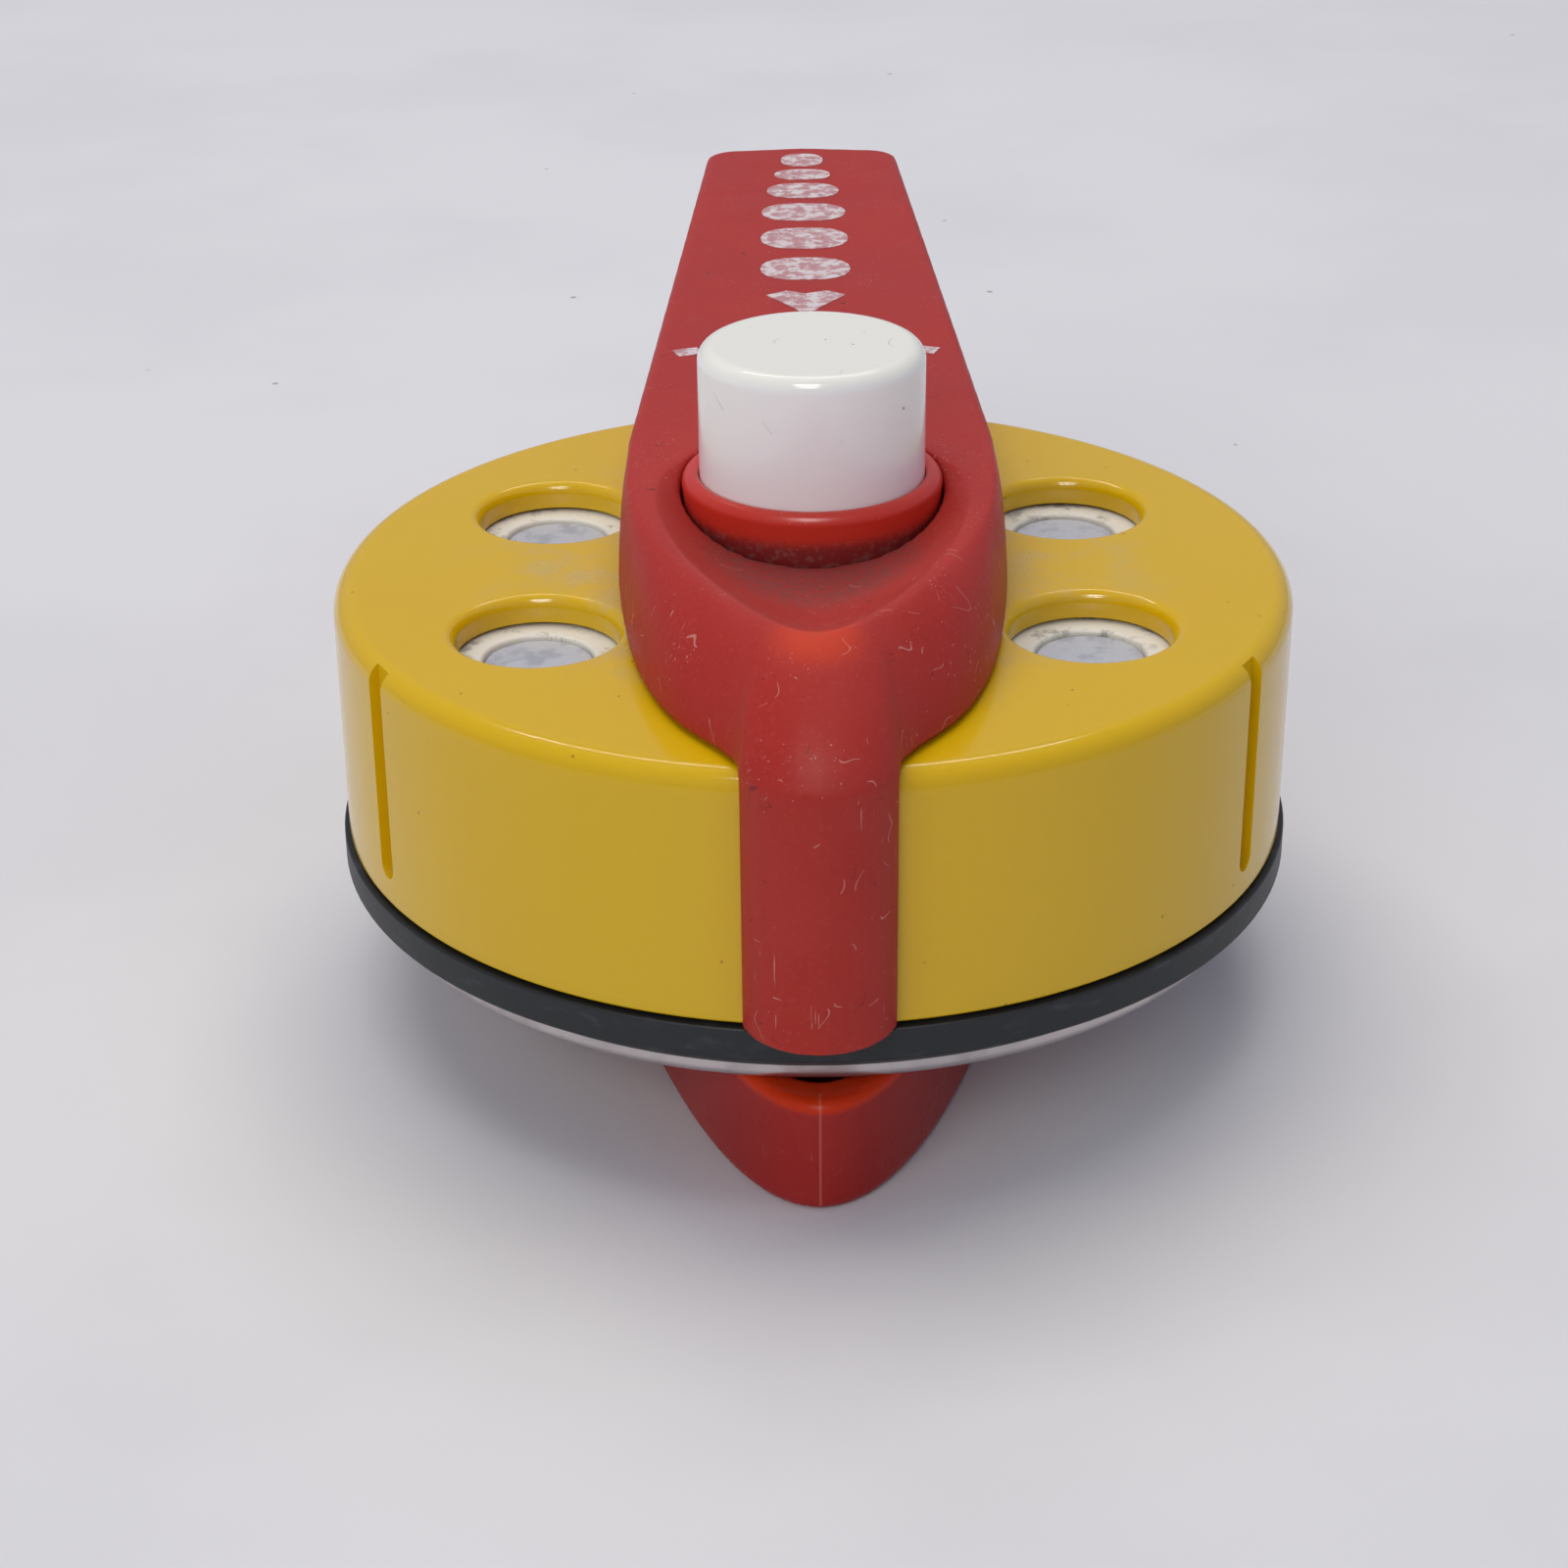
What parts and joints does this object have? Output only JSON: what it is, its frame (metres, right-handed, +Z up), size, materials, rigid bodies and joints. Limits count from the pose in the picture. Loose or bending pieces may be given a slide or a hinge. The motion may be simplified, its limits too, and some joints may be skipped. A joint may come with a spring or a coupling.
{
  "type": "switchable welding magnet holder",
  "caption": "Round magnetic holder that a turning lever switches on and off, with a push button that breaks it off the work and a keeper shoe over its face.",
  "frame": {"origin": "on the axis of the disc, in the flat underside of the keeper that it stands on", "axes": "+Z up along the axis of the disc, out of the button; +Y along the lever from the hub to its free end; +X to the right seen from the nose"},
  "size_m": [0.091, 0.1642, 0.0636],
  "materials": {
    "yellow_moulding": "glossy yellow nylon moulding, softly scuffed",
    "red_moulding": "satin red urethane-like moulding with dust and fine scratches",
    "orange_red_moulding": "satin orange-red moulding",
    "white_moulding": "glossy off-white moulding",
    "black_rubber": "scuffed blue-black rubber",
    "face_steel": "ground steel face",
    "ground_steel": "ground steel",
    "spring_steel": "oiled spring steel",
    "nickel_plating": "worn nickel plating",
    "plated_screw": "zinc-plated screw",
    "cast_aluminium": "as-cast and skimmed",
    "brass_bush": "turned brass",
    "nylon": "natural nylon",
    "white_sleeve": "cream moulding, scuffed"
  },
  "bodies": {
    "keeper": {"keeper_shoe": "red_moulding", "keeper_plate": "ground_steel", "keeper_dowel_1": "ground_steel", "keeper_dowel_2": "ground_steel", "keeper_screw_1": "plated_screw", "keeper_screw_2": "plated_screw"},
    "housing": {"cover": "yellow_moulding", "friction_ring": "black_rubber", "face_plate": "face_steel", "base_body": "cast_aluminium", "lower_magnet_1": "nickel_plating", "lower_magnet_2": "nickel_plating", "lower_magnet_3": "nickel_plating", "lower_magnet_4": "nickel_plating", "lower_magnet_5": "nickel_plating", "lower_magnet_6": "nickel_plating", "cover_screw_1": "plated_screw", "cover_screw_2": "plated_screw", "cover_screw_3": "plated_screw", "hub_bush": "brass_bush", "thrust_washer": "nylon"},
    "lever": {"lever_handle": "red_moulding", "button_collar": "orange_red_moulding", "rotor": "cast_aluminium", "stop_pin": "ground_steel", "guide_bush": "brass_bush", "return_spring": "spring_steel", "magnet_sleeve_1": "white_sleeve", "magnet_sleeve_2": "white_sleeve", "magnet_sleeve_3": "white_sleeve", "magnet_sleeve_4": "white_sleeve", "magnet_sleeve_5": "white_sleeve", "magnet_sleeve_6": "white_sleeve", "upper_magnet_1": "nickel_plating", "upper_magnet_2": "nickel_plating", "upper_magnet_3": "nickel_plating", "upper_magnet_4": "nickel_plating", "upper_magnet_5": "nickel_plating", "upper_magnet_6": "nickel_plating", "lever_screw_1": "plated_screw", "lever_screw_2": "plated_screw", "lever_screw_3": "plated_screw"},
    "button": {"button_cap": "white_moulding", "release_plunger": "ground_steel", "plunger_clip": "spring_steel"}
  },
  "joints": [
    {"name": "keeper_pull", "type": "slide", "parent": "keeper", "child": "housing", "axis": [0, 0, 1], "range_m": [0, 0.012]},
    {"name": "lever_turn", "type": "hinge", "parent": "housing", "child": "lever", "pos_m": [0, 0, 0.0419], "axis": [0, 0, 1], "range_deg": [-60, 60]},
    {"name": "button_press", "type": "slide", "parent": "lever", "child": "button", "axis": [0, 0, -1], "range_m": [0, 0.006], "stiffness_N_per_m": 900, "springref_m": -0.002, "deforming": ["return_spring"]}
  ]
}
